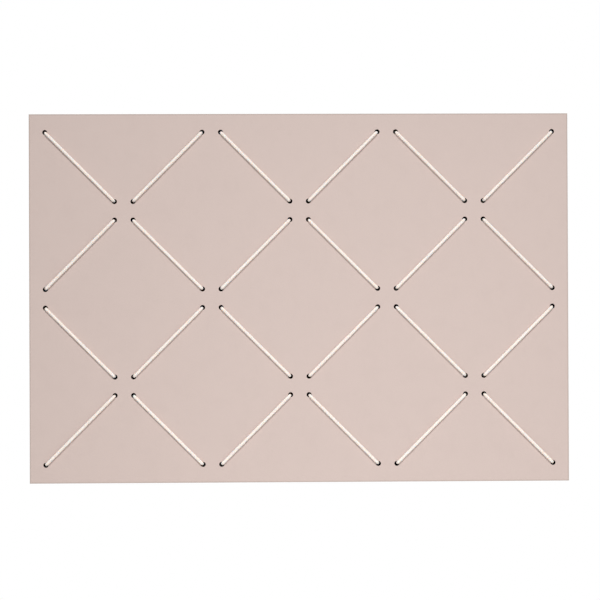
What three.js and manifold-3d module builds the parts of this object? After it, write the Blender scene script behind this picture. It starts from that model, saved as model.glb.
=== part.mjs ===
// Linoleum pin board: a fibreboard panel faced with linoleum and laced with elastic cord.
// Cards and photographs are slipped under the diagonal spans of cord on the face.
// Sizes are in millimetres. The drawing frame has x to the right, y up and z out from the
// wall, and the finished group is turned upright: the wall is then the plane y = 0, z is up
// and the face looks along -y.

import * as THREE from 'three';
import { mergeVertices } from 'three/addons/utils/BufferGeometryUtils.js';
import loadManifold from 'manifold-3d';

const manifold = await loadManifold();
manifold.setup();

// Lattice of the lacing
const LATTICE_PITCH = 97.5; // side of the square cell that one span of cord crosses
const DIAMONDS_ACROSS = 3; // a diamond is two cells wide and two cells high
const DIAMONDS_DOWN = 2;
const SIDE_BORDER = 7.5; // from the lattice to the left and right edges
const END_BORDER = 10; // from the lattice to the top and bottom edges
const HOLE_SPACING = 20.5; // between neighbouring holes round one lattice node

// Panel
const LINOLEUM_THICKNESS = 2;
const CORE_THICKNESS = 10;
const SEAT_GAP = 0.3; // left open where one piece rests on another

// Elastic cord
const CORD_DIAMETER = 3.5;
const HOLE_PLAY = 1.9; // hole diameter over the cord's
const CORD_CLEARANCE = 0.3; // from a cord to whatever it passes
const KNOT_TAIL = 8; // loose end beyond a stopper knot

// Wall bumpers
const WALL_CLEARANCE = 1.4; // from the stopper knots to the wall
const BUMPER_DIAMETER = 12;
const BUMPER_TAPER = 1; // base radius over tip radius
const BUMPER_INSET = 15; // from a bumper's centre to the bottom edge

// Keyhole hanger plates, let into the back of the panel
const HANGER_INSET = 40; // from the keyhole's entry to the top edge
const KEYHOLE_ENTRY = 9.5; // diameter that a wall screw's head goes in through
const KEYHOLE_SLOT = 5; // width of the slot that its neck slides up
const KEYHOLE_RISE = 8; // from the entry's centre to the slot's upper end
const PLATE_WIDTH = 50;
const PLATE_RIM = 3.5; // metal above and below the keyhole
const PLATE_CORNER = 3; // corner radius
const PLATE_THICKNESS = 2;
const PLATE_CLEARANCE = 0.3; // from a plate's edge to its recess
const POCKET_PLAY = 1; // width of the pocket behind a plate over the entry's diameter
const POCKET_DEPTH = 5;

// Plate screws
const SCREW_EDGE = 8; // from a screw's centre to the end of its plate
const SCREW_DIAMETER = 3;
const SCREW_HEAD = 6;
const SCREW_HEAD_RIM = 0.3;
const SCREW_LENGTH = 8;
const SCREW_POINT = 2.5; // length of the tapered point
const SCREW_CLEARANCE = 0.3;
const DRIVE_LENGTH = 3.4; // cross recess in the head
const DRIVE_WIDTH = 0.8;
const DRIVE_DEPTH = 1;

// Facets
const CORD_SIDES = 8;
const HOLE_SIDES = 12;
const ROUND_SIDES = 24;
const ARC_SEGMENTS = 6;
const RIM_STEPS = 3; // along the quarter turn over a hole's rim
const HOP_STEPS = 8; // along the hump where one cord passes behind another
const KNOT_STEPS = 24;

// Sizes that follow
const COLUMNS = 2 * DIAMONDS_ACROSS;
const ROWS = 2 * DIAMONDS_DOWN;
const BOARD_WIDTH = COLUMNS * LATTICE_PITCH + 2 * SIDE_BORDER;
const BOARD_HEIGHT = ROWS * LATTICE_PITCH + 2 * END_BORDER;
const CORD_RADIUS = CORD_DIAMETER / 2;
const HOLE_RADIUS = (CORD_DIAMETER + HOLE_PLAY) / 2;
const BEND_RADIUS = CORD_RADIUS + CORD_CLEARANCE; // of a centreline round a hole's rim
const HOP_HEIGHT = CORD_DIAMETER + CORD_CLEARANCE;

// A stopper knot's curve, in shares of the cord that it is tied in
const KNOT_SPREAD = 0.74 * CORD_DIAMETER;
const KNOT_RISE = 0.8 * CORD_DIAMETER; // of a strand over the knot's middle plane
const KNOT_LOOP = 2.4; // size of the loops beside the turn that they go round
const KNOT_OPENING = THREE.MathUtils.degToRad(40); // half of the turn left open for the ends
const KNOT_LEAD = HOLE_RADIUS + CORD_RADIUS; // from the hole's centre to the knot

// Levels out from the wall
const CORE_BACK = WALL_CLEARANCE + 2 * KNOT_RISE + CORD_DIAMETER + CORD_CLEARANCE;
const CORE_FRONT = CORE_BACK + CORE_THICKNESS;
const LINOLEUM_BACK = CORE_FRONT + SEAT_GAP;
const FACE = LINOLEUM_BACK + LINOLEUM_THICKNESS;

const OUT = new THREE.Vector3(0, 0, 1);
const TO_WALL = new THREE.Vector3(0, 0, -1);

const MATERIALS = {
  linoleum: new THREE.MeshStandardMaterial({ color: 0xd7c4bc, roughness: 0.7, metalness: 0 }),
  fibreboard: new THREE.MeshStandardMaterial({ color: 0x2e2b29, roughness: 0.8, metalness: 0 }),
  cord: new THREE.MeshStandardMaterial({ color: 0xf6ece5, roughness: 0.9, metalness: 0 }),
  steel: new THREE.MeshStandardMaterial({ color: 0xb4b6b8, roughness: 0.4, metalness: 0.9 }),
  rubber: new THREE.MeshStandardMaterial({ color: 0x6b6b69, roughness: 0.85, metalness: 0 }),
};

const pinBoard = new THREE.Group();
pinBoard.rotation.x = Math.PI / 2;

function addPiece(name, geometry, material) {
  const piece = new THREE.Mesh(geometry, material);
  piece.name = name;
  pinBoard.add(piece);
}

function extrude(shape, from, to) {
  const settings = { depth: to - from, bevelEnabled: false, curveSegments: ARC_SEGMENTS };
  return new THREE.ExtrudeGeometry(shape, settings).translate(0, 0, from);
}

function roundOutline(x, y, radius, sides) {
  const points = [];
  for (let k = 0; k < sides; k += 1) {
    const angle = (2 * Math.PI * k) / sides;
    points.push(new THREE.Vector2(x + radius * Math.cos(angle), y + radius * Math.sin(angle)));
  }
  return new THREE.Shape(points);
}

// Closed solid from a geometry, for cutting
function solidOf(geometry) {
  const bare = new THREE.BufferGeometry();
  bare.setAttribute('position', geometry.getAttribute('position'));
  bare.setIndex(geometry.getIndex());
  const merged = mergeVertices(bare);
  const index = Array.from(merged.getIndex().array);
  const triangles = [];
  for (let k = 0; k < index.length; k += 3) {
    const corners = index.slice(k, k + 3);
    if (new Set(corners).size === 3) triangles.push(...corners);
  }
  return new manifold.Manifold(new manifold.Mesh({
    numProp: 3,
    vertProperties: merged.getAttribute('position').array,
    triVerts: Uint32Array.from(triangles),
  }));
}

function cutAway(geometry, cutters) {
  let body = solidOf(geometry);
  for (const cutter of cutters) {
    body = body.subtract(solidOf(cutter));
  }
  const { vertProperties, triVerts } = body.getMesh();
  const result = new THREE.BufferGeometry();
  result.setAttribute('position', new THREE.BufferAttribute(vertProperties, 3));
  result.setIndex(new THREE.BufferAttribute(triVerts, 1));
  result.computeVertexNormals();
  return result;
}

// Lacing. The lattice nodes that are laced form a chequerboard. A cord starts at the top or
// the bottom border, crosses one cell after another on the diagonal, turns back at each border
// and ends in a corner, or where it began.
function latticeNode(i, j) {
  return new THREE.Vector3((i - COLUMNS / 2) * LATTICE_PITCH, (ROWS / 2 - j) * LATTICE_PITCH, 0);
}

function layCord(startI, startJ) {
  const spans = [];
  let [i, j] = [startI, startJ];
  let di = i < COLUMNS ? 1 : -1;
  let dj = j < ROWS ? 1 : -1;
  let ended = false;
  while (!ended) {
    const toHole = new THREE.Vector3(di, -dj, 0).multiplyScalar(HOLE_SPACING / 2);
    const from = latticeNode(i, j).add(toHole);
    const cell = `${Math.min(i, i + di)},${Math.min(j, j + dj)}`;
    i += di;
    j += dj;
    const to = latticeNode(i, j).sub(toHole);
    spans.push({ cell, from, to, along: toHole.clone().normalize() });
    const atSide = i === 0 || i === COLUMNS;
    const atEnd = j === 0 || j === ROWS;
    ended = (atSide && atEnd) || (i === startI && j === startJ);
    if (atSide) di = -di;
    if (atEnd) dj = -dj;
  }
  return spans;
}

function layCords() {
  const cords = [];
  const laced = new Set();
  const borderNodes = [0, COLUMNS]; // the corners first, then every second node between them
  for (let i = 2; i < COLUMNS; i += 2) borderNodes.push(i);
  for (const j of [0, ROWS]) {
    for (const i of borderNodes) {
      const cord = layCord(i, j);
      if (!laced.has(cord[0].cell)) {
        cord.forEach((span) => laced.add(span.cell));
        cords.push(cord);
      }
    }
  }
  return cords;
}

const cords = layCords();

// Panel: the core and the linoleum glued to it are drilled together.
function panelShape() {
  const halfWidth = BOARD_WIDTH / 2;
  const halfHeight = BOARD_HEIGHT / 2;
  const shape = new THREE.Shape();
  shape.moveTo(-halfWidth, -halfHeight);
  shape.lineTo(halfWidth, -halfHeight);
  shape.lineTo(halfWidth, halfHeight);
  shape.lineTo(-halfWidth, halfHeight);
  shape.closePath();
  for (const { from, to } of cords.flat()) {
    for (const hole of [from, to]) {
      shape.holes.push(roundOutline(hole.x, hole.y, HOLE_RADIUS, HOLE_SIDES));
    }
  }
  return shape;
}

// The fittings stand in the column beside the corners, which has no holes at its top and bottom.
const FITTING_X = (COLUMNS / 2 - 1) * LATTICE_PITCH;
const HANGER_Y = BOARD_HEIGHT / 2 - HANGER_INSET;
const BUMPER_Y = BUMPER_INSET - BOARD_HEIGHT / 2;
const SIDES = { left: -FITTING_X, right: FITTING_X };

const PLATE_BOTTOM = -KEYHOLE_ENTRY / 2 - PLATE_RIM; // from the entry's centre
const PLATE_TOP = KEYHOLE_RISE + KEYHOLE_SLOT / 2 + PLATE_RIM;
const PLATE_FRONT = CORE_BACK + PLATE_THICKNESS;
const RECESS_FLOOR = PLATE_FRONT + SEAT_GAP;
const POCKET_FLOOR = RECESS_FLOOR + POCKET_DEPTH;
const SCREW_Y = (PLATE_BOTTOM + PLATE_TOP) / 2;
const SCREW_X = PLATE_WIDTH / 2 - SCREW_EDGE;
const SCREWS_X = { left: -SCREW_X, right: SCREW_X };
const HEAD_DEPTH = SCREW_HEAD_RIM + (SCREW_HEAD - SCREW_DIAMETER) / 2;

function plateShape(grow) {
  const right = PLATE_WIDTH / 2 + grow;
  const top = PLATE_TOP + grow;
  const bottom = PLATE_BOTTOM - grow;
  const r = PLATE_CORNER + grow;
  const shape = new THREE.Shape();
  shape.absarc(right - r, top - r, r, 0, Math.PI / 2);
  shape.absarc(r - right, top - r, r, Math.PI / 2, Math.PI);
  shape.absarc(r - right, bottom + r, r, Math.PI, 1.5 * Math.PI);
  shape.absarc(right - r, bottom + r, r, 1.5 * Math.PI, 2 * Math.PI);
  return shape;
}

function keyholeOutline() {
  const mouth = Math.asin(KEYHOLE_SLOT / KEYHOLE_ENTRY); // half of the arc that opens to the slot
  const outline = new THREE.Path();
  outline.absarc(0, 0, KEYHOLE_ENTRY / 2, Math.PI / 2 + mouth, 2.5 * Math.PI - mouth);
  outline.absarc(0, KEYHOLE_RISE, KEYHOLE_SLOT / 2, 0, Math.PI);
  return outline;
}

function pocketShape() {
  const radius = (KEYHOLE_ENTRY + POCKET_PLAY) / 2;
  const shape = new THREE.Shape();
  shape.absarc(0, 0, radius, Math.PI, 2 * Math.PI);
  shape.absarc(0, KEYHOLE_RISE, radius, 0, Math.PI);
  return shape;
}

// Room in the core for one plate, the head of the wall screw behind it and the plate's screws.
// The cutters start outside the back, so that they open it cleanly.
function hangerCutters(x) {
  const outside = CORE_BACK - SEAT_GAP;
  const pilotFloor = CORE_BACK + SCREW_LENGTH + SCREW_CLEARANCE;
  const pilotRadius = SCREW_DIAMETER / 2 + SCREW_CLEARANCE;
  const cutters = [
    extrude(plateShape(PLATE_CLEARANCE), outside, RECESS_FLOOR),
    extrude(pocketShape(), outside, POCKET_FLOOR),
  ];
  for (const screwX of Object.values(SCREWS_X)) {
    cutters.push(extrude(roundOutline(screwX, SCREW_Y, pilotRadius, HOLE_SIDES), outside, pilotFloor));
  }
  return cutters.map((cutter) => cutter.translate(x, HANGER_Y, 0));
}

const panel = panelShape();
const hangerRooms = Object.values(SIDES).flatMap(hangerCutters);
addPiece('linoleum_face', extrude(panel, LINOLEUM_BACK, FACE), MATERIALS.linoleum);
addPiece('core_board', cutAway(extrude(panel, CORE_BACK, CORE_FRONT), hangerRooms), MATERIALS.fibreboard);

// Keyhole plates, each with two countersunk screws whose heads lie flush
function countersink(screwX) {
  const depth = HEAD_DEPTH + SCREW_CLEARANCE;
  const inner = SCREW_DIAMETER / 2 + SCREW_CLEARANCE;
  const cone = new THREE.CylinderGeometry(inner, inner + depth, depth, HOLE_SIDES);
  return cone.rotateX(Math.PI / 2).translate(screwX, SCREW_Y, CORE_BACK + depth / 2 - SCREW_HEAD_RIM);
}

function hangerPlate() {
  const shape = plateShape(0);
  const shankRadius = SCREW_DIAMETER / 2 + SCREW_CLEARANCE;
  const screwXs = Object.values(SCREWS_X);
  shape.holes.push(keyholeOutline());
  screwXs.forEach((x) => shape.holes.push(roundOutline(x, SCREW_Y, shankRadius, HOLE_SIDES)));
  return cutAway(extrude(shape, CORE_BACK, PLATE_FRONT), screwXs.map(countersink));
}

function hangerScrew() {
  const headRadius = SCREW_HEAD / 2;
  const shankRadius = SCREW_DIAMETER / 2;
  const profile = [
    new THREE.Vector2(0, 0),
    new THREE.Vector2(headRadius, 0),
    new THREE.Vector2(headRadius, SCREW_HEAD_RIM),
    new THREE.Vector2(shankRadius, HEAD_DEPTH),
    new THREE.Vector2(shankRadius, SCREW_LENGTH - SCREW_POINT),
    new THREE.Vector2(0, SCREW_LENGTH),
  ];
  const screw = new THREE.LatheGeometry(profile, HOLE_SIDES).rotateX(Math.PI / 2);
  const arms = [
    new THREE.BoxGeometry(DRIVE_LENGTH, DRIVE_WIDTH, 2 * DRIVE_DEPTH),
    new THREE.BoxGeometry(DRIVE_WIDTH, DRIVE_LENGTH, 2 * DRIVE_DEPTH),
  ];
  return cutAway(screw, arms);
}

for (const [side, x] of Object.entries(SIDES)) {
  addPiece(`${side}_hanger_plate`, hangerPlate().translate(x, HANGER_Y, 0), MATERIALS.steel);
  for (const [screwSide, screwX] of Object.entries(SCREWS_X)) {
    const screw = hangerScrew().translate(x + screwX, HANGER_Y + SCREW_Y, CORE_BACK);
    addPiece(`${side}_hanger_${screwSide}_screw`, screw, MATERIALS.steel);
  }
}

// Bumpers that keep the lower edge as far from the wall as the hangers keep the upper one
function bumper() {
  const tipRadius = BUMPER_DIAMETER / 2 - BUMPER_TAPER;
  const profile = [
    new THREE.Vector2(0, 0),
    new THREE.Vector2(tipRadius, 0),
    new THREE.Vector2(BUMPER_DIAMETER / 2, CORE_BACK - SEAT_GAP),
    new THREE.Vector2(0, CORE_BACK - SEAT_GAP),
  ];
  return new THREE.LatheGeometry(profile, ROUND_SIDES).rotateX(Math.PI / 2);
}

for (const [side, x] of Object.entries(SIDES)) {
  addPiece(`${side}_bumper`, bumper().translate(x, BUMPER_Y, 0), MATERIALS.rubber);
}

// Cord along stations, each a point of its centreline and the direction there
class StationPath extends THREE.Curve {
  constructor(stations) {
    super();
    this.stations = stations;
  }

  stationAt(u) {
    return this.stations[Math.round(u * (this.stations.length - 1))];
  }

  getPointAt(u) {
    return this.stationAt(u).point.clone();
  }

  getTangentAt(u) {
    return this.stationAt(u).direction.clone().normalize();
  }
}

function cordAlong(stations) {
  return new THREE.ExtrudeGeometry(roundOutline(0, 0, CORD_RADIUS, CORD_SIDES), {
    extrudePath: new StationPath(stations),
    steps: stations.length - 1,
  });
}

// Point given by a hole's centre, a distance along the board and a level
function pointBy(hole, along, distance, level) {
  return hole.clone().addScaledVector(along, distance).setZ(level);
}

// Quarter turn over the rim of a hole, from the hole's axis to the direction along the board
function rimTurn(hole, along, outward, level) {
  const rim = pointBy(hole, along, HOLE_RADIUS, level);
  const stations = [];
  for (let k = 0; k <= RIM_STEPS; k += 1) {
    const angle = (k / RIM_STEPS) * (Math.PI / 2);
    const inHole = BEND_RADIUS * Math.cos(angle);
    const proud = BEND_RADIUS * Math.sin(angle);
    stations.push({
      point: rim.clone().addScaledVector(along, -inHole).addScaledVector(outward, proud),
      direction: outward.clone().multiplyScalar(inHole).addScaledVector(along, proud),
    });
  }
  return stations;
}

function reversed(stations) {
  const turnBack = ({ point, direction }) => ({ point, direction: direction.clone().negate() });
  return stations.map(turnBack).reverse();
}

// Out of one hole, along a side of the panel and into another hole
function runStations(from, to, outward, level, hopHeight) {
  const along = to.clone().sub(from).normalize();
  const start = rimTurn(from, along, outward, level);
  const end = reversed(rimTurn(to, along.clone().negate(), outward, level));
  const first = start.at(-1).point;
  const length = end[0].point.distanceTo(first);
  const hop = [];
  if (hopHeight > 0) {
    for (let k = 1; k < HOP_STEPS; k += 1) {
      const turn = (Math.PI * k) / HOP_STEPS;
      const height = hopHeight * Math.sin(turn) ** 2;
      const slope = ((hopHeight * Math.PI) / length) * Math.sin(2 * turn);
      const point = first.clone().addScaledVector(along, (k / HOP_STEPS) * length);
      hop.push({
        point: point.addScaledVector(outward, height),
        direction: along.clone().addScaledVector(outward, slope),
      });
    }
  }
  return [...start, ...hop, ...end];
}

// A cord's end in a hole, just short of the span on the face that it continues
function holeMouth(hole, toSpan, direction) {
  const point = pointBy(hole, toSpan, HOLE_RADIUS - BEND_RADIUS, FACE - CORD_CLEARANCE);
  return { point, direction };
}

// From one span to the next behind the panel. Where two runs cross, the rising one hops over.
function rearRunStations(before, after) {
  const across = after.from.clone().sub(before.to);
  const rises = across.x * across.y > 0;
  return [
    holeMouth(before.to, before.along.clone().negate(), TO_WALL),
    ...runStations(before.to, after.from, TO_WALL, CORE_BACK, rises ? HOP_HEIGHT : 0),
    holeMouth(after.from, after.along, OUT),
  ];
}

// Overhand stopper knot: an open trefoil that lies flat behind the panel, beside its hole
function knotStations(hole, inward) {
  const sideways = new THREE.Vector3(-inward.y, inward.x, 0);
  const middle = CORE_BACK - CORD_CLEARANCE - CORD_RADIUS - KNOT_RISE;
  const opened = Math.PI + KNOT_OPENING;
  const curve = (t) => new THREE.Vector3(
    KNOT_SPREAD * (Math.sin(t) + KNOT_LOOP * Math.sin(2 * t)),
    KNOT_SPREAD * (Math.cos(t) - KNOT_LOOP * Math.cos(2 * t)),
    -KNOT_RISE * Math.sin(3 * t),
  );
  const slope = (t) => new THREE.Vector3(
    KNOT_SPREAD * (Math.cos(t) + 2 * KNOT_LOOP * Math.cos(2 * t)),
    KNOT_SPREAD * (2 * KNOT_LOOP * Math.sin(2 * t) - Math.sin(t)),
    -3 * KNOT_RISE * Math.cos(3 * t),
  );
  const axes = new THREE.Matrix4().makeBasis(sideways, inward, OUT);
  const turned = (vector) => vector.applyMatrix4(axes);
  const origin = pointBy(hole, inward, KNOT_LEAD, middle).sub(turned(curve(opened).setZ(0)));
  const loops = [];
  for (let k = 0; k <= KNOT_STEPS; k += 1) {
    const t = opened + (k / KNOT_STEPS) * 2 * (Math.PI - KNOT_OPENING);
    loops.push({ point: turned(curve(t)).add(origin), direction: turned(slope(t)) });
  }
  const tailEnd = pointBy(loops.at(-1).point, inward, -KNOT_TAIL, middle - KNOT_RISE);
  return [
    holeMouth(hole, inward, TO_WALL),
    ...rimTurn(hole, inward, TO_WALL, CORE_BACK),
    ...loops,
    { point: tailEnd, direction: inward.clone().negate() },
  ];
}

function addCord(name, spans) {
  const numbered = (k) => String(k + 1).padStart(2, '0');
  spans.forEach((span, k) => {
    const geometry = cordAlong(runStations(span.from, span.to, OUT, FACE, 0));
    addPiece(`${name}_span_${numbered(k)}`, geometry, MATERIALS.cord);
  });
  spans.slice(1).forEach((span, k) => {
    const geometry = cordAlong(rearRunStations(spans[k], span));
    addPiece(`${name}_rear_run_${numbered(k)}`, geometry, MATERIALS.cord);
  });
  const first = spans[0];
  const last = spans.at(-1);
  addPiece(`${name}_start_knot`, cordAlong(knotStations(first.from, first.along)), MATERIALS.cord);
  const back = last.along.clone().negate();
  addPiece(`${name}_end_knot`, cordAlong(knotStations(last.to, back)), MATERIALS.cord);
}

cords.forEach((spans, k) => addCord(`cord_${String.fromCharCode('a'.charCodeAt(0) + k)}`, spans));

export default pinBoard;
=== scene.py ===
import math

import bmesh
import bpy
import numpy as np
from mathutils import Color, Matrix, Vector


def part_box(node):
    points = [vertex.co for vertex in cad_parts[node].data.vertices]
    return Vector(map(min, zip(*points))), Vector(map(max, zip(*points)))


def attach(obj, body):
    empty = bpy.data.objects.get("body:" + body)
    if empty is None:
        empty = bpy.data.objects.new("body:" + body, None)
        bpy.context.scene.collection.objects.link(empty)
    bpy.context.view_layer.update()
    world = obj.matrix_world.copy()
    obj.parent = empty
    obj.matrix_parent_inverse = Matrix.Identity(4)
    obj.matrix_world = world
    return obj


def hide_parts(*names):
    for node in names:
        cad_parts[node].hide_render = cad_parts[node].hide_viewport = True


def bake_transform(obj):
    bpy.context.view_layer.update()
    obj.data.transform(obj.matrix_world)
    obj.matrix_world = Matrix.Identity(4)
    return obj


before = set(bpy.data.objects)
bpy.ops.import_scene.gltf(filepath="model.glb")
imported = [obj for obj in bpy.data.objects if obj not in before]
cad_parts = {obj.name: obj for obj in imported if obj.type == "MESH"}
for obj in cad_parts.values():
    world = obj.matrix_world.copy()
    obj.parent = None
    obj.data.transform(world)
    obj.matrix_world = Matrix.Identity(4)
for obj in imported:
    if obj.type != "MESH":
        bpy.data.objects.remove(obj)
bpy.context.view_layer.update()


# Core board. A 10 mm panel of fibreboard dyed black all through, sawn square and sanded.
# It is drilled right through for the cords, and its back is routed out for the two hanger
# plates, their screws and the heads of the wall screws behind them.
MM = 0.001
LATTICE_PITCH = 97.5 * MM  # side of the square cell that one span of cord crosses
LATTICE_COLUMNS = 6
LATTICE_ROWS = 4
HOLE_INSET = 10.25 * MM  # from a lattice node to each of its holes, both across and down
HOLE_RADIUS = 2.7 * MM
HOLE_REACH = 3.3 * MM  # from a hole's axis to past its eased rim
CORE_ARRIS = 0.4 * MM  # what sanding takes off the edges
PLATE_CORNER = 3 * MM
PLATE_CLEARANCE = 0.3 * MM  # from a hanger plate to its recess
KEYHOLE_ENTRY = 4.75 * MM  # radius that the head of a wall screw goes in through
KEYHOLE_RISE = 8 * MM  # from the entry's centre to the slot's upper end
PLATE_RIM = 3.5 * MM  # steel below the keyhole
POCKET_RADIUS = 5.25 * MM
POCKET_DEPTH = 5 * MM
PILOT_RADIUS = 1.8 * MM
CUTTER_LEAD = 0.3 * MM  # how far a cutter starts outside what it cuts
HOLE_STEPS = 40
CORNER_STEPS = 10
WELD = 0.001 * MM
FLAT_NORMAL = 0.9  # a face that looks this much along y is on a broad side
BLACK_FIBRE = (26, 25, 24)
GREY_FIBRE = (58, 56, 54)
SANDED_FIBRE = (74, 71, 68)
FIBRE_TURNS = (0.3, 1.4, 2.5)  # directions that the fibres lie in, in radians
FIBRE_STRETCH = (1, 0.4, 0.12)  # along z a fibre is about eight times as long as it is wide
# near black: painted shade for the walls of the cord holes
HOLE_SHADE_BLACK = (9, 8, 8)
HOLE_SHADE_GREY = (18, 16, 15)

core_low, core_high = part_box("core_board")
CORE_BACK = -core_high.y  # distances from the wall
CORE_FRONT = -core_low.y
SIDES = ("left", "right")  # of the board, and of each hanger plate


def lacing(column):
    """Pairs of holes that one cord's spans run between, from a top corner down the diagonal."""
    row = 0
    across = 1 if column == 0 else -1
    down = 1
    spans = []
    ended = False
    while not ended:
        node = Vector((column - LATTICE_COLUMNS / 2, 0, LATTICE_ROWS / 2 - row)) * LATTICE_PITCH
        step = Vector((across, 0, -down))
        spans.append((node + step * HOLE_INSET, node + step * (LATTICE_PITCH - HOLE_INSET)))
        column += across
        row += down
        at_side = column in (0, LATTICE_COLUMNS)
        at_end = row in (0, LATTICE_ROWS)
        across = -across if at_side else across
        down = -down if at_end else down
        ended = at_side and at_end
    return spans


CORDS = {"cord_a": lacing(0), "cord_b": lacing(LATTICE_COLUMNS)}
HOLES = [hole for spans in CORDS.values() for span in spans for hole in span]


def arc(x, z, radius, start, end, steps):
    """Points on an arc round (x, z), with its angles in degrees from +x towards +z."""
    turns = [math.radians(start + (end - start) * k / steps) for k in range(steps + 1)]
    return [(x + radius * math.cos(turn), z + radius * math.sin(turn)) for turn in turns]


def round_hole(x, z, radius):
    return arc(x, z, radius, 0, 360, HOLE_STEPS)[:-1]


def rectangle(low, high):
    return [(low.x, low.z), (high.x, low.z), (high.x, high.z), (low.x, high.z)]


def plate_outline(low, high, grow=0.0):
    """Outline of a hanger plate with round corners, from its box, or of its recess."""
    radius = PLATE_CORNER + grow
    left, right = low.x - grow + radius, high.x + grow - radius
    bottom, top = low.z - grow + radius, high.z + grow - radius
    return [
        *arc(right, top, radius, 0, 90, CORNER_STEPS),
        *arc(left, top, radius, 90, 180, CORNER_STEPS),
        *arc(left, bottom, radius, 180, 270, CORNER_STEPS),
        *arc(right, bottom, radius, 270, 360, CORNER_STEPS),
    ]


def add_piece(name, mesh):
    piece = bpy.data.objects.new(name, mesh)
    bpy.context.scene.collection.objects.link(piece)
    return piece


def mesh_of(name, shape):
    """Mesh of a finished shape."""
    mesh = bpy.data.meshes.new(name)
    shape.to_mesh(mesh)
    shape.free()
    return mesh


def welded(mesh):
    """The mesh with its seams merged, its slivers dissolved, and its faces pointing out."""
    shape = bmesh.new()
    shape.from_mesh(mesh)
    bmesh.ops.remove_doubles(shape, verts=shape.verts, dist=WELD)
    bmesh.ops.dissolve_degenerate(shape, dist=WELD, edges=shape.edges)
    bmesh.ops.recalc_face_normals(shape, faces=shape.faces)
    shape.to_mesh(mesh)
    shape.free()
    return mesh


def slab(name, outlines, back, front, arris=0.0):
    """Plate between two distances from the wall, filled between its outlines, with eased edges."""
    curve = bpy.data.curves.new(name, "CURVE")
    curve.dimensions = "2D"
    curve.fill_mode = "BOTH"
    curve.extrude = (front - back) / 2 - arris
    curve.bevel_depth = arris
    curve.bevel_resolution = 1
    curve.offset = -arris
    for outline in outlines:
        spline = curve.splines.new("POLY")
        spline.points.add(len(outline) - 1)
        for point, (x, z) in zip(spline.points, outline):
            point.co = (x, z, 0, 1)
        spline.use_cyclic_u = True
    drawn = bpy.data.objects.new(name, curve)
    mesh = bpy.data.meshes.new_from_object(drawn)
    bpy.data.objects.remove(drawn)
    mesh.transform(Matrix.Rotation(math.pi / 2, 4, "X"))
    mesh.transform(Matrix.Translation((0, -(back + front) / 2, 0)))
    mesh.materials.clear()
    return add_piece(name, welded(mesh))


def cut_away(piece, cutters):
    """Takes the cutters' shapes out of a piece."""
    for cutter in cutters:
        cut = piece.modifiers.new(cutter.name, "BOOLEAN")
        cut.operation = "DIFFERENCE"
        cut.solver = "EXACT"
        cut.object = cutter
    graph = bpy.context.evaluated_depsgraph_get()
    mesh = bpy.data.meshes.new_from_object(piece.evaluated_get(graph))
    piece.modifiers.clear()
    piece.data = mesh
    mesh.materials.clear()
    for cutter in cutters:
        bpy.data.objects.remove(cutter)


def shade(mesh, angle):
    """Smooth shading, but for edges that turn by more than the angle in degrees."""
    mesh.shade_smooth()
    mesh.set_sharp_from_angle(angle=math.radians(angle))


def tone(shade_of):
    """Colour for a shader from one written as red, green and blue up to 255."""
    linear = Color([part / 255 for part in shade_of]).from_srgb_to_scene_linear()
    return (*linear, 1.0)


def join(material, node, inputs):
    """Sets a node's inputs, or links them where another node's output is given."""
    for name, value in inputs.items():
        if isinstance(value, bpy.types.NodeSocket):
            material.node_tree.links.new(value, node.inputs[name])
        else:
            node.inputs[name].default_value = value


def add_node(material, kind, inputs, output=0, **settings):
    """New node with its inputs and settings, given as one of its outputs."""
    node = material.node_tree.nodes.new(kind)
    for name, value in settings.items():
        setattr(node, name, value)
    join(material, node, inputs)
    return node.outputs[output]


def reckon(material, operation, one, other=0.0):
    return add_node(material, "ShaderNodeMath", {0: one, 1: other}, operation=operation)


def finish(name, roughness, specular=0.5):
    """New material, its shader, and the coordinates of the piece that it is on."""
    material = bpy.data.materials.new(name)
    material.use_nodes = True
    shader = material.node_tree.nodes["Principled BSDF"]
    join(material, shader, {"Roughness": roughness, "Specular IOR Level": specular})
    place = add_node(material, "ShaderNodeTexCoord", {}, output="Object")
    return material, shader, place


def noise(material, place, scale, detail=4.0, roughness=0.55, stretch=(1, 1, 1)):
    """Even noise from 0 to 1, with features of about one over the scale, in metres."""
    where = add_node(material, "ShaderNodeMapping", {"Vector": place, "Scale": stretch})
    inputs = {"Vector": where, "Scale": scale, "Detail": detail, "Roughness": roughness}
    return add_node(material, "ShaderNodeTexNoise", inputs)


def ramp(material, factor, *stops):
    """Colours along a factor, each given with its place from 0 to 1."""
    made = material.node_tree.nodes.new("ShaderNodeValToRGB")
    join(material, made, {"Fac": factor})
    steps = made.color_ramp.elements
    while len(steps) < len(stops):
        steps.new(0.5)
    for step, (place, colour) in zip(steps, stops):
        step.position = place
        step.color = tone(colour)
    return made.outputs["Color"]


def spread(material, factor, low, high):
    """A factor that mostly lies from 0.3 to 0.7, brought to another range."""
    inputs = {"Value": factor, "From Min": 0.3, "From Max": 0.7, "To Min": low, "To Max": high}
    return add_node(material, "ShaderNodeMapRange", inputs)


def bump(material, height, depth, strength=1.0):
    inputs = {"Height": height, "Distance": depth, "Strength": strength}
    return add_node(material, "ShaderNodeBump", inputs)


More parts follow.
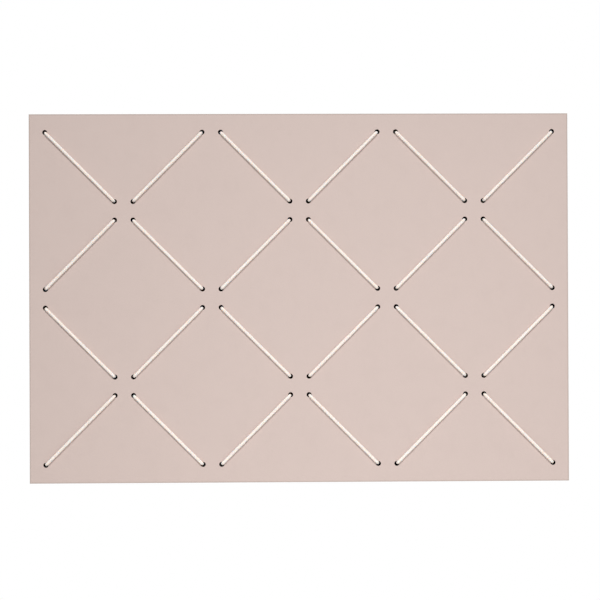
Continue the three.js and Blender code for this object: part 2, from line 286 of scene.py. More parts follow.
def fibreboard(name, light_fibre):
    """Pressed black fibre, with single fibres that took less of the dye."""
    material, shader, place = finish(name, roughness=0.8, specular=0.3)
    pulp = noise(material, place, scale=700, detail=6, roughness=0.7)
    fibres = 0.0
    for turn in FIBRE_TURNS:
        inputs = {"Vector": place, "Angle": turn}
        lie = add_node(material, "ShaderNodeVectorRotate", inputs, rotation_type="Y_AXIS")
        strands = noise(
            material, lie, scale=1100, detail=3, roughness=0.6, stretch=FIBRE_STRETCH
        )
        fibres = reckon(material, "MAXIMUM", fibres, strands)
    matted = reckon(material, "MULTIPLY", pulp, fibres)
    stops = [(0.2, BLACK_FIBRE), (0.36, GREY_FIBRE), (0.5, light_fibre)]
    join(material, shader, {
        "Base Color": ramp(material, matted, *stops),
        "Roughness": spread(material, pulp, low=0.7, high=0.9),
        "Normal": bump(material, matted, depth=0.12 * MM, strength=0.7),
    })
    return material


def painted_hole_shade():
    """Wall of a drilled hole: near black painted shade for the dark inside it, with no shine."""
    material, shader, place = finish("painted_hole_shade", roughness=0.95, specular=0.0)
    crumbs = noise(material, place, scale=1500, detail=5, roughness=0.7)
    join(material, shader, {
        "Base Color": ramp(material, crumbs, (0.3, HOLE_SHADE_BLACK), (0.7, HOLE_SHADE_GREY)),
        "Normal": bump(material, crumbs, depth=0.08 * MM),
    })
    return material


def in_cord_hole(spot):
    """Whether a point is in one of the holes that the cords go through."""
    return any(math.hypot(spot.x - hole.x, spot.z - hole.z) < HOLE_REACH for hole in HOLES)


def hanger_cutters(side):
    """Room for one plate, the heads of the screws that go in behind it and its own screws."""
    low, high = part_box(f"{side}_hanger_plate")
    outside = CORE_BACK - CUTTER_LEAD
    recess_floor = -low.y + PLATE_CLEARANCE
    middle = (low.x + high.x) / 2
    entry = low.z + PLATE_RIM + KEYHOLE_ENTRY
    pocket = [
        *arc(middle, entry, POCKET_RADIUS, 180, 360, HOLE_STEPS),
        *arc(middle, entry + KEYHOLE_RISE, POCKET_RADIUS, 0, 180, HOLE_STEPS),
    ]
    cutters = [
        slab(f"{side}_recess", [plate_outline(low, high, PLATE_CLEARANCE)], outside, recess_floor),
        slab(f"{side}_pocket", [pocket], outside, recess_floor + POCKET_DEPTH),
    ]
    for end in SIDES:
        screw_low, screw_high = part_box(f"{side}_hanger_{end}_screw")
        centre = (screw_low + screw_high) / 2
        bore = round_hole(centre.x, centre.z, PILOT_RADIUS)
        floor = PLATE_CLEARANCE - screw_low.y
        cutters.append(slab(f"{side}_{end}_pilot", [bore], outside, floor))
    return cutters


drilled = [round_hole(hole.x, hole.z, HOLE_RADIUS) for hole in HOLES]
core = slab(
    "fibreboard_core",
    [rectangle(core_low, core_high), *drilled],
    CORE_BACK,
    CORE_FRONT,
    CORE_ARRIS,
)
cut_away(core, [cutter for side in SIDES for cutter in hanger_cutters(side)])
shade(core.data, angle=15)
hole_shade_wall = painted_hole_shade()
core.data.materials.append(fibreboard("pressed_fibre", GREY_FIBRE))
core.data.materials.append(fibreboard("sanded_fibre", SANDED_FIBRE))
core.data.materials.append(hole_shade_wall)
# The walls of the cord holes take the near-black material: painted shade for the dark deep in the
# holes.
for face in core.data.polygons:
    if abs(face.normal.y) < FLAT_NORMAL:
        face.material_index = 2 if in_cord_hole(face.center) else 1
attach(core, "board")
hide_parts("core_board")


# Linoleum face. One 2 mm sheet of furniture linoleum on its film of glue, in a pale pink clay
# colour. It is calendered, matt and faintly mottled, and drilled along with the core. The walls
# of its holes are painted near black as shade, and its border is darkened as painted edge shade.
LINOLEUM_ARRIS = 0.25 * MM
EDGE_SHADE_WIDTH = 1.7 * MM  # width of the border darkened as painted shade along the edges
CLAY = (207, 189, 182)
PALE_CLAY = (208, 190, 183)
DEEP_CLAY = (205, 187, 180)
CUT_CLAY = (146, 130, 120)
# lighter colour of the sawn edge, and the painted edge shade on the face's border
CUT_AND_EDGE_SHADE_CLAY = (178, 162, 153)
CORK_FLOUR = (245, 244, 243)  # what the grains take off the clay's colour
PURE_WHITE = (255, 255, 255)

face_low, face_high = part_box("linoleum_face")
FACE = -face_low.y


def near_edge(material, place):
    """Factor that grows from 0 inside the border to 1 at the sheet's outer edges."""
    across = add_node(material, "ShaderNodeSeparateXYZ", {"Vector": place}, output="X")
    down = add_node(material, "ShaderNodeSeparateXYZ", {"Vector": place}, output="Z")
    to_side = reckon(material, "SUBTRACT", face_high.x, reckon(material, "ABSOLUTE", across))
    to_end = reckon(material, "SUBTRACT", face_high.z, reckon(material, "ABSOLUTE", down))
    inputs = {
        "Value": reckon(material, "MINIMUM", to_side, to_end),
        "From Min": EDGE_SHADE_WIDTH,
        "From Max": 0.0,
    }
    return add_node(material, "ShaderNodeMapRange", inputs)


def blended(material, blend, factor, under, over):
    inputs = {"Fac": factor, "Color1": under, "Color2": over}
    return add_node(material, "ShaderNodeMixRGB", inputs, blend_type=blend)


def linoleum():
    """Matt clay, softly clouded, with fine grains of cork flour and a border of painted edge shade."""
    material, shader, place = finish("linoleum", roughness=0.62, specular=0.35)
    clouds = noise(material, place, scale=45, detail=5, roughness=0.6)
    grains = noise(material, place, scale=1600, detail=3, roughness=0.6)
    clay = ramp(material, clouds, (0.3, DEEP_CLAY), (0.5, CLAY), (0.7, PALE_CLAY))
    flour = ramp(material, grains, (0.3, CORK_FLOUR), (0.6, PURE_WHITE))
    grained = blended(material, "MULTIPLY", 1.0, clay, flour)
    # The border darkens as painted shade along the board's edges.
    edge_shaded = blended(material, "MIX", near_edge(material, place), grained, tone(CUT_AND_EDGE_SHADE_CLAY))
    join(material, shader, {
        "Base Color": edge_shaded,
        "Roughness": spread(material, clouds, low=0.58, high=0.68),
        "Normal": bump(material, grains, depth=0.04 * MM, strength=0.5),
    })
    return material


def cut_linoleum():
    """The sawn edge, where the binder is darker than the pressed face."""
    material, shader, place = finish("cut_linoleum", roughness=0.8, specular=0.3)
    crumbs = noise(material, place, scale=1500, detail=5, roughness=0.7)
    join(material, shader, {
        "Base Color": ramp(material, crumbs, (0.3, CUT_CLAY), (0.7, CUT_AND_EDGE_SHADE_CLAY)),
        "Normal": bump(material, crumbs, depth=0.08 * MM),
    })
    return material


sheet = slab(
    "linoleum_sheet",
    [rectangle(face_low, face_high), *drilled],
    CORE_FRONT,
    FACE,
    LINOLEUM_ARRIS,
)
shade(sheet.data, angle=15)
for material in (linoleum(), cut_linoleum(), hole_shade_wall):
    sheet.data.materials.append(material)
# The walls of the cord holes take the near-black material: painted shade, as in the core.
for face in sheet.data.polygons:
    if abs(face.normal.y) < FLAT_NORMAL:
        face.material_index = 2 if in_cord_hole(face.center) else 1
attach(sheet, "board")
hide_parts("linoleum_face")


# Hole plugs. A ring of black felt pushed into each hole, with its bore on the side that the cord
# comes down. It grips the cord, so that each span keeps its own pull, and shuts out the light.
# Its black is painted shade: it stands in for the dark deep inside each hole.
PLUG_FRONT = 3 * MM  # below the face
PLUG_BACK = 6 * MM
PLUG_BORE = 1.45 * MM
CORD_IN_HOLE = 1.5 * MM  # radius that the rim squeezes the cord to
CORD_OFF_WALL = 1.55 * MM  # from a hole's wall to the middle of the cord in it
# near black: painted shade for the dark inside the holes
PLUG_SHADE_BLACK = (9, 8, 8)
PLUG_SHADE_GREY = (20, 18, 17)


def plug_shade_felt():
    """Pressed wool felt, black as painted shade for the holes, with short loose fibres."""
    material, shader, place = finish("plug_painted_shade", roughness=0.95, specular=0.0)
    fibres = noise(material, place, scale=2200, detail=5, roughness=0.7)
    join(material, shader, {
        "Base Color": ramp(material, fibres, (0.35, PLUG_SHADE_BLACK), (0.7, PLUG_SHADE_GREY)),
        "Normal": bump(material, fibres, depth=0.1 * MM),
    })
    return material


rings = []
for first_hole, last_hole in CORDS["cord_a"] + CORDS["cord_b"]:
    along = (last_hole - first_hole).normalized()
    for hole, toward in ((first_hole, along), (last_hole, -along)):
        bore = hole + toward * (HOLE_RADIUS - CORD_OFF_WALL)
        rings.append(round_hole(hole.x, hole.z, HOLE_RADIUS))
        rings.append(round_hole(bore.x, bore.z, PLUG_BORE))
plugs = slab("hole_shade_plugs", rings, FACE - PLUG_BACK, FACE - PLUG_FRONT)
shade(plugs.data, angle=30)
plugs.data.materials.append(plug_shade_felt())
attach(plugs, "board")


# Hanger plates. Two keyhole plates stamped from 2 mm steel and zinc plated, with countersunk
# screw holes. They lie flush in the core's back, and the board hangs by them on two wall screws.
PLATE_ARRIS = 0.25 * MM
KEYHOLE_SLOT = 2.5 * MM  # half of the width that the neck of a wall screw slides up
SHANK_HOLE = 1.8 * MM  # radius
COUNTERSINK = 3.3 * MM  # radius at the plate's back
ZINC = (188, 190, 192)
DULL_ZINC = (168, 171, 175)
BRIGHT_ZINC = (205, 206, 207)
ROLLING_STRETCH = (0.15, 1, 4)  # the marks of rolling run across the plate


def zinc(name):
    """Zinc plating: pale bluish grey in soft patches, with fine rolling marks."""
    material, shader, place = finish(name, roughness=0.35)
    patches = noise(material, place, scale=220, detail=5, roughness=0.6)
    marks = noise(
        material, place, scale=500, detail=3, roughness=0.6, stretch=ROLLING_STRETCH
    )
    join(material, shader, {
        "Base Color": ramp(material, patches, (0.3, DULL_ZINC), (0.5, ZINC), (0.7, BRIGHT_ZINC)),
        "Metallic": 1.0,
        "Roughness": spread(material, patches, low=0.28, high=0.46),
        "Normal": bump(material, marks, depth=0.02 * MM, strength=0.6),
    })
    return material


def countersink(name, x, z):
    """Cutter for the flare of a screw hole: a cone that opens to the wall."""
    lead = COUNTERSINK + CUTTER_LEAD
    depth = lead - SHANK_HOLE
    shape = bmesh.new()
    bmesh.ops.create_cone(
        shape,
        cap_ends=True,
        segments=HOLE_STEPS,
        radius1=SHANK_HOLE,
        radius2=lead,
        depth=depth,
        matrix=Matrix.Translation((x, CUTTER_LEAD - CORE_BACK - depth / 2, z))
        @ Matrix.Rotation(-math.pi / 2, 4, "X"),
    )
    return add_piece(name, mesh_of(name, shape))


plating = zinc("zinc_plate")
for side in SIDES:
    low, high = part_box(f"{side}_hanger_plate")
    middle = (low.x + high.x) / 2
    entry = low.z + PLATE_RIM + KEYHOLE_ENTRY
    mouth = math.degrees(math.asin(KEYHOLE_SLOT / KEYHOLE_ENTRY))
    keyhole = [
        *arc(middle, entry, KEYHOLE_ENTRY, 90 + mouth, 450 - mouth, HOLE_STEPS),
        *arc(middle, entry + KEYHOLE_RISE, KEYHOLE_SLOT, 0, 180, HOLE_STEPS // 2),
    ]
    screws = [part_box(f"{side}_hanger_{end}_screw") for end in SIDES]
    centres = [(corner_low + corner_high) / 2 for corner_low, corner_high in screws]
    shanks = [round_hole(centre.x, centre.z, SHANK_HOLE) for centre in centres]
    plate = slab(
        f"{side}_keyhole_plate",
        [plate_outline(low, high), keyhole, *shanks],
        -high.y,
        -low.y,
        PLATE_ARRIS,
    )
    cut_away(plate, [countersink(f"{side}_flare", centre.x, centre.z) for centre in centres])
    welded(plate.data)
    shade(plate.data, angle=15)
    plate.data.materials.append(plating)
    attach(plate, "board")
    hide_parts(f"{side}_hanger_plate")


# Plate screws. Small countersunk wood screws of zinc plated steel with a cross recess, two to
# each plate, driven into the core until their heads are flush.
SCREW_HEAD = 3 * MM  # radius
SCREW_SHANK = 1.5 * MM
SCREW_RIM = 0.3 * MM
HEAD_EASE = 0.2 * MM  # taken off the head's edge
SCREW_CORE = 1.15 * MM  # radius between the threads
SCREW_LENGTH = 8 * MM
SCREW_POINT = 2.5 * MM
THREAD_PITCH = 1.1 * MM
SCREW_STEPS = 32
RECESS_ARM = 1.7 * MM  # from the screw's axis to the end of the recess
RECESS_WIDTH = 0.8 * MM
RECESS_DEPTH = 1.2 * MM
RECESS_TAPER = 0.55  # size of the recess at its floor, beside its mouth


def screw_profile():
    """Radius and depth from the head's middle to the point, with a ridge for each turn of thread."""
    under_head = SCREW_RIM + SCREW_HEAD - SCREW_SHANK
    profile = [
        (0, 0),
        (SCREW_HEAD - HEAD_EASE, 0),
        (SCREW_HEAD, HEAD_EASE / 2),
        (SCREW_HEAD, SCREW_RIM),
        (SCREW_SHANK, under_head),
    ]
    depth = under_head + THREAD_PITCH / 2
    while depth < SCREW_LENGTH - SCREW_POINT:
        profile.append((SCREW_CORE, depth))
        profile.append((SCREW_SHANK, depth + THREAD_PITCH / 2))
        depth += THREAD_PITCH
    profile.append((SCREW_CORE, depth))
    profile.append((0, SCREW_LENGTH))
    return profile


def turned(name, profile, steps):
    """Closed mesh spun from a profile of radius and distance along -y, out from the wall."""
    shape = bmesh.new()
    points = [shape.verts.new((radius, -depth, 0)) for radius, depth in profile]
    edges = [shape.edges.new(pair) for pair in zip(points[:-1], points[1:])]
    bmesh.ops.spin(
        shape,
        geom=points + edges,
        axis=(0, 1, 0),
        cent=(0, 0, 0),
        angle=2 * math.pi,
        steps=steps,
        use_merge=True,
    )
    return welded(mesh_of(name, shape))


def recess_arm(name, turn):
    """One bar of the cross recess, narrower at its floor."""
    shape = bmesh.new()
    bmesh.ops.create_cube(shape, size=2)
    for corner in shape.verts:
        deep = corner.co.y < 0
        size = RECESS_TAPER if deep else 1.0
        level = -RECESS_DEPTH if deep else CUTTER_LEAD
        corner.co = (corner.co.x * RECESS_ARM * size, level, corner.co.z * RECESS_WIDTH / 2 * size)
    bmesh.ops.rotate(shape, verts=shape.verts, matrix=Matrix.Rotation(turn, 3, "Y"))
    return add_piece(name, mesh_of(name, shape))


pattern = add_piece("screw_pattern", turned("woodscrew", screw_profile(), SCREW_STEPS))
cut_away(pattern, [recess_arm("recess_along", 0), recess_arm("recess_across", math.pi / 2)])
woodscrew = pattern.data
bpy.data.objects.remove(pattern)
woodscrew.materials.append(zinc("zinc_screw"))
SCREW_TURNS = {"left": 0.4, "right": 1.2}  # how far round each screw came to rest, in radians
for side in SIDES:
    for end, turn in SCREW_TURNS.items():
        node = f"{side}_hanger_{end}_screw"
        low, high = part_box(node)
        mesh = woodscrew.copy()
        mesh.transform(Matrix.Rotation(turn, 4, "Y"))
        mesh.transform(Matrix.Translation(((low.x + high.x) / 2, high.y, (low.z + high.z) / 2)))
        shade(mesh, angle=35)
        screw = add_piece(f"{side}_{end}_woodscrew", mesh)
        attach(screw, "board")
        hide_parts(node)


# Bumpers. Two moulded studs of grey rubber glued to the back near the lower edge, which keep
# the board as far from the wall as its knots and hangers need.
BUMPER_TAPER = 1 * MM  # base radius over tip radius
BUMPER_FILLET = 0.9 * MM
FILLET_STEPS = 6
GREY_RUBBER = (104, 104, 102)
DARK_RUBBER = (88, 88, 87)


def rubber():
    """Moulded rubber: matt, faintly clouded, with the fine grain of its mould."""
    material, shader, place = finish("rubber", roughness=0.7, specular=0.4)
    clouds = noise(material, place, scale=180, detail=4)
    grain = noise(material, place, scale=2500, detail=2)
    join(material, shader, {
        "Base Color": ramp(material, clouds, (0.3, DARK_RUBBER), (0.7, GREY_RUBBER)),
        "Roughness": spread(material, clouds, low=0.62, high=0.78),
        "Normal": bump(material, grain, depth=0.03 * MM, strength=0.6),
    })
    return material


moulded = rubber()
for side in SIDES:
    low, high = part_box(f"{side}_bumper")
    base = (high.x - low.x) / 2
    tip = base - BUMPER_TAPER
    rim = arc(tip - BUMPER_FILLET, -BUMPER_FILLET, BUMPER_FILLET, 90, 0, FILLET_STEPS)
    profile = [(0, 0), *((radius, -level) for radius, level in rim), (base, CORE_BACK), (0, CORE_BACK)]
    mesh = turned(f"{side}_stud", profile, SCREW_STEPS)
    mesh.transform(Matrix.Translation(((low.x + high.x) / 2, 0, (low.z + high.z) / 2)))
    shade(mesh, angle=35)
    mesh.materials.append(moulded)
    stud = add_piece(f"{side}_rubber_stud", mesh)
    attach(stud, "board")
    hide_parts(f"{side}_bumper")


# Elastic cords. Two lengths of 3.5 mm round elastic with a braided off-white cover, each threaded
# from a knot behind one corner through the panel and back, 12 times over the face.
# Behind the panel the cord crosses from each hole to the next, and its ends are knotted.
CORD_RADIUS = 1.75 * MM
CORD_REST = 1.82 * MM  # from the panel to the middle of a cord that lies on it
CORD_SIDES = 32
RING_STEP = 0.3 * MM
STRANDS = 8  # that wind each way round the cord
ROW_LENGTH = 0.9 * MM  # along the cord, from one row of crossings to the next
BRAID_DEPTH = 0.12 * MM
STRAND_CROWN = 0.8  # power that rounds a strand across
STRAND_DIP = 0.4  # power that lets it dip under the next one
JOINT_DEPTH = 7 * MM  # below the face, where a span goes on as a run behind the panel
RIM_STEPS = 12
HOP_HEIGHT = 3.6 * MM  # of one cord over another behind the panel
HOP_STEPS = 24
LEAST_RISE = 0.1  # product of a run's directions, above which it is a rising diagonal
SEALED_END = 0.9 * MM  # length over which a melted end is round
COTTON = (254, 243, 236)
SHADED_COTTON = (251, 239, 232)
# painted shade at the bottom of the braid's gaps
GAP_SHADE_COTTON = (240, 227, 219)
FLUFF_SHADE = (242, 241, 240)  # what the loose fibres take off the yarn's colour
YARN_STRETCH = (3, 0.8, 1)  # fibres lie along the cord


def braid_height(turn, length):
    """Height of the braid's surface, from 0 in the gaps to 1 on the strands."""
    right = np.cos((STRANDS * turn + math.pi * length / ROW_LENGTH) / 2)
    left = np.cos((STRANDS * turn - math.pi * length / ROW_LENGTH) / 2)
    right_on_top = right * left > 0
    across = np.abs(np.where(right_on_top, right, left))
    along = np.abs(np.where(right_on_top, left, right))
    return across**STRAND_CROWN * along**STRAND_DIP


def evenly(line):
    """The line with its points a ring apart."""
    line = np.array(line)
    steps = np.linalg.norm(np.diff(line, axis=0), axis=1)
    along = np.concatenate([[0], np.cumsum(steps)])
    wanted = np.linspace(0, along[-1], round(along[-1] / RING_STEP) + 1)
    return np.stack([np.interp(wanted, along, axis) for axis in line.T], axis=1)


def eased(line, passes):
    """The line with its corners eased."""
    for _ in range(passes):
        line[1:-1] = (line[:-2] + 2 * line[1:-1] + line[2:]) / 4
    return line


def braided(name, line, up, sealed=False):
    """Braided tube round an even line, closed at its ends. up is square to the line's start."""
    rings = len(line)
    steps = np.linalg.norm(np.diff(line, axis=0), axis=1)
    to_end = np.append(np.cumsum(steps[::-1])[::-1], 0)
    ahead = np.gradient(line, axis=0)
    ahead /= np.linalg.norm(ahead, axis=1)[:, None]
    ups = [Vector(up)]
    for one, next_one in zip(ahead[:-1], ahead[1:]):
        ups.append(Vector(one).rotation_difference(Vector(next_one)) @ ups[-1])
    ups = np.array(ups)
    beside = np.cross(ahead, ups)

    shape = bmesh.new()
    shape.loops.layers.uv.new("braid")
    bmesh.ops.create_grid(
        shape, x_segments=CORD_SIDES, y_segments=rings - 1, size=0.5, calc_uvs=True
    )
    mesh = bpy.data.meshes.new(name)
    shape.to_mesh(mesh)
    flat = np.empty(len(mesh.vertices) * 3)
    mesh.vertices.foreach_get("co", flat)
    across, along, _ = flat.reshape(-1, 3).T + 0.5
    ring = np.rint(along * (rings - 1)).astype(int)
    turn = across * 2 * math.pi
    height = braid_height(turn, to_end[ring])
    outside = np.maximum(-line[:, 1] - FACE, CORE_BACK + line[:, 1])
    girth = np.interp(outside, (0, CORD_REST), (CORD_IN_HOLE, CORD_RADIUS))
    radius = girth[ring] - BRAID_DEPTH * (1 - height)
    if sealed:
        short = np.clip(1 - to_end[ring] / SEALED_END, 0, 1)
        radius *= np.sqrt(1 - short**2)
    out = np.cos(turn)[:, None] * ups[ring] + np.sin(turn)[:, None] * beside[ring]
    mesh.vertices.foreach_set("co", (line[ring] + radius[:, None] * out).ravel())
    mesh.attributes.new("height", "FLOAT", "POINT").data.foreach_set("value", height)
    unrolled = mesh.uv_layers["braid"].data
    flat = np.empty(len(unrolled) * 2)
    unrolled.foreach_get("uv", flat)
    size_mm = (2 * math.pi * CORD_RADIUS / MM, to_end[0] / MM)
    unrolled.foreach_set("uv", (flat.reshape(-1, 2) * size_mm).ravel())

    shape.clear()
    shape.from_mesh(mesh)
    bmesh.ops.remove_doubles(shape, verts=shape.verts, dist=WELD)
    ends = [edge for edge in shape.edges if edge.is_boundary]
    bmesh.ops.holes_fill(shape, edges=ends, sides=0)
    bmesh.ops.recalc_face_normals(shape, faces=shape.faces)
    shape.to_mesh(mesh)
    shape.free()
    shade(mesh, angle=60)
    return mesh


def elastic_cover():
    """Braided cotton yarn: soft sheen, painted shade in the braid's gaps, fine fibres along the cord.
    """
    material, shader, _ = finish("braided_cover", roughness=0.85, specular=0.2)
    height = add_node(material, "ShaderNodeAttribute", {}, output="Fac", attribute_name="height")
    unrolled = add_node(material, "ShaderNodeUVMap", {}, uv_map="braid")
    fibres = noise(material, unrolled, scale=4, detail=4, roughness=0.6, stretch=YARN_STRETCH)
    # Painted shade: the yarn darkens from the strands' crowns down into the gaps between them.
    yarn = ramp(material, height, (0.0, GAP_SHADE_COTTON), (0.45, SHADED_COTTON), (0.9, COTTON))
    fluff = ramp(material, fibres, (0.3, FLUFF_SHADE), (0.6, PURE_WHITE))
    join(material, shader, {
        "Base Color": blended(material, "MULTIPLY", 1.0, yarn, fluff),
        "Subsurface Weight": 1.0,
        "Subsurface Radius": (1.0, 0.9, 0.8),
        "Subsurface Scale": 1.5 * MM,
        "Sheen Weight": 0.4,
        "Sheen Roughness": 0.5,
        "Normal": bump(material, fibres, depth=0.05 * MM, strength=0.8),
    })
    return material


cover = elastic_cover()


def place_cord(name, line, up, sealed=False):
    mesh = braided(name, line, up, sealed)
    mesh.materials.append(cover)
    piece = add_piece(name, mesh)
    return piece


def at(hole, along, distance, level):
    """Point beside a hole, by its distance from the hole's axis and from the wall."""
    spot = hole + along * distance
    return Vector((spot.x, -level, spot.z))


def over_rim(hole, along, level, outward):
    """Quarter turn from a hole's mouth on to the panel. outward is 1 on the face, -1 behind."""
    turns = [math.pi / 2 * k / RIM_STEPS for k in range(RIM_STEPS + 1)]
    return [
        at(
            hole,
            along,
            HOLE_RADIUS - CORD_OFF_WALL * math.cos(turn),
            level + outward * CORD_REST * math.sin(turn),
        )
        for turn in turns
    ]


def in_hole(hole, toward):
    """Where a span ends inside a hole, on the side that it lies on."""
    return at(hole, toward, HOLE_RADIUS - CORD_OFF_WALL, FACE - JOINT_DEPTH)


# Spans on the face. Each is taut and straight between two holes, and a card slipped under one
# lifts it in the middle. The points past the middle are folded back over the first half, and
# then set back where they were.
for cord, spans in CORDS.items():
    for number, (first_hole, last_hole) in enumerate(spans, 1):
        body = f"{cord}_span_{number:02d}"
        middle = (first_hole + last_hole) / 2
        along = (last_hole - first_hole).normalized()
        line = [
            in_hole(first_hole, along),
            *over_rim(first_hole, along, FACE, 1),
            *reversed(over_rim(last_hole, -along, FACE, 1)),
            in_hole(last_hole, -along),
        ]
        piece = place_cord(f"{body}_elastic", evenly(line), -along)
        points = piece.data.vertices
        taut = np.empty(len(points) * 3)
        points.foreach_get("co", taut)
        past_middle = np.maximum((taut.reshape(-1, 3) - middle) @ along, 0)
        points.foreach_set("co", taut - 2 * np.outer(past_middle, along).ravel())
        start = at(first_hole, along, HOLE_RADIUS, FACE)
        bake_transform(piece)
        points.foreach_set("co", taut)
        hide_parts(body)


# Runs behind the panel. The cord comes through one hole and goes back through the next, and at
# the inner crossings the run that rises to the right lies over the other.
for cord, spans in CORDS.items():
    for number, (before, after) in enumerate(zip(spans[:-1], spans[1:]), 1):
        come, leave = before[1], after[0]
        along = (leave - come).normalized()
        start = over_rim(come, along, CORE_BACK, -1)
        finish_turn = over_rim(leave, -along, CORE_BACK, -1)[::-1]
        hop = HOP_HEIGHT if along.x * along.z > LEAST_RISE else 0
        humped = []
        for k in range(1, HOP_STEPS):
            share = k / HOP_STEPS
            point = start[-1].lerp(finish_turn[0], share)
            humped.append(point + Vector((0, hop * math.sin(math.pi * share) ** 2, 0)))
        line = [
            in_hole(come, (before[0] - come).normalized()),
            *start,
            *humped,
            *finish_turn,
            in_hole(leave, (after[1] - leave).normalized()),
        ]
        piece = place_cord(f"{cord}_behind_{number:02d}", eased(evenly(line), passes=10), -along)
        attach(piece, "board")
        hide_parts(f"{cord}_rear_run_{number:02d}")


# Stopper knots. Each end of a cord is tied in an overhand knot behind its corner hole, drawn
# up against the panel, and cut off with the end melted round.
KNOT_SPREAD = 2.59 * MM
KNOT_RISE = 2.8 * MM  # of a strand over the knot's middle plane
KNOT_LOOP = 2.4  # size of the loops beside the turn that they go round
KNOT_OPENING = math.radians(40)  # half of the turn left open for the ends
KNOT_LEAD = 4.45 * MM  # from the hole's axis to the knot
KNOT_TAIL = 8 * MM
KNOT_STEPS = 120


def knot_line(hole, inward):
    """Down the hole, over its rim and round an open trefoil that lies flat behind the panel."""
    sideways = Vector((-inward.z, 0, inward.x))
    middle = CORE_BACK - CORD_REST - KNOT_RISE
    opened = math.pi + KNOT_OPENING
    loops = []
    for k in range(KNOT_STEPS + 1):
        t = opened + k / KNOT_STEPS * 2 * (math.pi - KNOT_OPENING)
        aside = KNOT_SPREAD * (math.sin(t) + KNOT_LOOP * math.sin(2 * t))
        ahead = KNOT_SPREAD * (math.cos(t) - KNOT_LOOP * math.cos(2 * t))
        rise = -KNOT_RISE * math.sin(3 * t)
        loops.append(sideways * aside + inward * ahead + Vector((0, -middle - rise, 0)))
    shift = at(hole, inward, KNOT_LEAD, 0) - Vector((loops[0].x, 0, loops[0].z))
    loops = [point + shift for point in loops]
    tail = loops[-1] - inward * KNOT_TAIL
    return [in_hole(hole, inward), *over_rim(hole, inward, CORE_BACK, -1), *loops, tail]


for cord, spans in CORDS.items():
    ends = {"start": spans[0], "end": spans[-1][::-1]}
    for end, (hole, other) in ends.items():
        inward = (other - hole).normalized()
        line = eased(evenly(knot_line(hole, inward)), passes=12)
        piece = place_cord(f"{cord}_{end}_stopper", line, -inward, sealed=True)
        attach(piece, "board")
        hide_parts(f"{cord}_{end}_knot")


# Floor and backdrop. A pale studio floor well below the hung board, which takes its shadow and
# fades into a white backdrop all round.
FLOOR_LEVEL = -0.55
FLOOR_RADIUS = 1.0
FLOOR_SIDES = 64
FLOOR_FADE = 0.7  # nearness to the middle at which the floor is quite solid
FLOOR_WHITE = (250, 249, 248)
AMBIENT = 0.21

shape = bmesh.new()
bmesh.ops.create_circle(shape, cap_ends=True, segments=FLOOR_SIDES, radius=FLOOR_RADIUS)
mesh = mesh_of("studio_floor", shape)
mesh.transform(Matrix.Translation((0, 0, FLOOR_LEVEL)))
floor = add_piece("studio_floor", mesh)
material, shader, place = finish("floor_paint", roughness=0.9, specular=0.0)
join(material, shader, {"Base Color": tone(FLOOR_WHITE)})
shrink = 1 / FLOOR_RADIUS
inputs = {"Vector": place, "Scale": (shrink, shrink, shrink)}
inputs["Location"] = (0, 0, -FLOOR_LEVEL * shrink)
where = add_node(material, "ShaderNodeMapping", inputs)
near = add_node(material, "ShaderNodeTexGradient", {"Vector": where}, gradient_type="SPHERICAL")
fade = add_node(material, "ShaderNodeMapRange", {"Value": near, "From Max": FLOOR_FADE})
clear = add_node(material, "ShaderNodeBsdfTransparent", {})
paint = shader.outputs["BSDF"]
faded = add_node(material, "ShaderNodeMixShader", {0: fade, 1: clear, 2: paint})
join(material, material.node_tree.nodes["Material Output"], {"Surface": faded})
floor.data.materials.append(material)

world = bpy.data.worlds.new("studio")
world.use_nodes = True
bpy.context.scene.world = world
light_path = world.node_tree.nodes.new("ShaderNodeLightPath").outputs
seen = reckon(world, "MAXIMUM", light_path["Is Camera Ray"], light_path["Is Glossy Ray"])
seen = reckon(world, "MAXIMUM", seen, light_path["Is Transmission Ray"])
soft = add_node(world, "ShaderNodeBackground", {"Color": (1, 1, 1, 1), "Strength": AMBIENT})
white = add_node(world, "ShaderNodeBackground", {"Color": (1, 1, 1, 1), "Strength": 1.0})
both = add_node(world, "ShaderNodeMixShader", {0: seen, 1: soft, 2: white})
join(world, world.node_tree.nodes["World Output"], {"Surface": both})


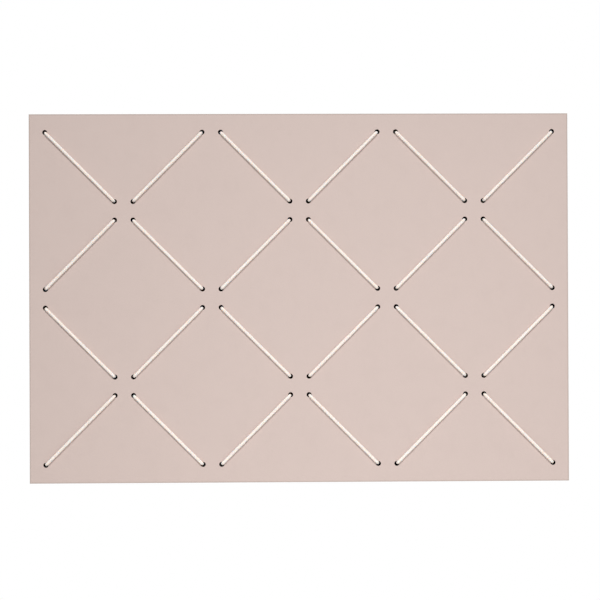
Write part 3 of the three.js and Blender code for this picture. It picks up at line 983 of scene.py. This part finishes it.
# Studio lights. A softbox high up and far out throws the cords' short shadows down the face,
# and a weaker one in front of the board fills them. Two behind it light its back and sides, and
# are kept out of the plating's reflections, so that it mirrors the backdrop alone.
def softbox(name, place, aim, width, height, power, mirrored=True):
    lamp = bpy.data.lights.new(name, "AREA")
    lamp.shape = "RECTANGLE"
    lamp.size = width
    lamp.size_y = height
    lamp.energy = power
    holder = bpy.data.objects.new(name, lamp)
    bpy.context.scene.collection.objects.link(holder)
    holder.visible_glossy = mirrored
    holder.location = place
    holder.rotation_euler = (Vector(aim) - Vector(place)).to_track_quat("-Z", "Y").to_euler()


MIDDLE = (0, 0, 0)
softbox("key_softbox", place=(0.05, -7.0, 6.4), aim=MIDDLE, width=1.8, height=1.1, power=570)
softbox(
    "fill_softbox",
    place=(0.13, -0.7, -0.05),
    aim=(0.13, 0, -0.05),
    width=0.8,
    height=0.8,
    power=2.15,
)
for side, across in zip(SIDES, (-2.2, 2.2)):
    softbox(
        f"{side}_rear_softbox",
        place=(across, 1.6, 0.3),
        aim=MIDDLE,
        width=2.0,
        height=2.0,
        power=40,
        mirrored=False,
    )


# Camera. It stands square in front of the board, a little to its left, as the photographer did.
# It is turned by about a degree, and tilted by less, to put the board where the photograph has it.
CAMERA_LENS = 85
SENSOR_WIDTH = 36
CAMERA_PLACE = (-0.0238, -1.6001, -0.0082)
CAMERA_YAW = math.radians(-0.885)
CAMERA_PITCH = math.radians(0.211)
CAMERA_ROLL = math.radians(0.23)

lens = bpy.data.cameras.new("camera")
lens.lens = CAMERA_LENS
lens.sensor_width = SENSOR_WIDTH
camera = bpy.data.objects.new("camera", lens)
bpy.context.scene.collection.objects.link(camera)
camera.matrix_world = (
    Matrix.Translation(CAMERA_PLACE)
    @ Matrix.Rotation(CAMERA_YAW, 4, "Z")
    @ Matrix.Rotation(CAMERA_PITCH, 4, "X")
    @ Matrix.Rotation(CAMERA_ROLL, 4, "Y")
    @ Matrix.Rotation(math.pi / 2, 4, "X")
)
bpy.context.scene.camera = camera
bpy.context.scene.view_settings.view_transform = "Standard"
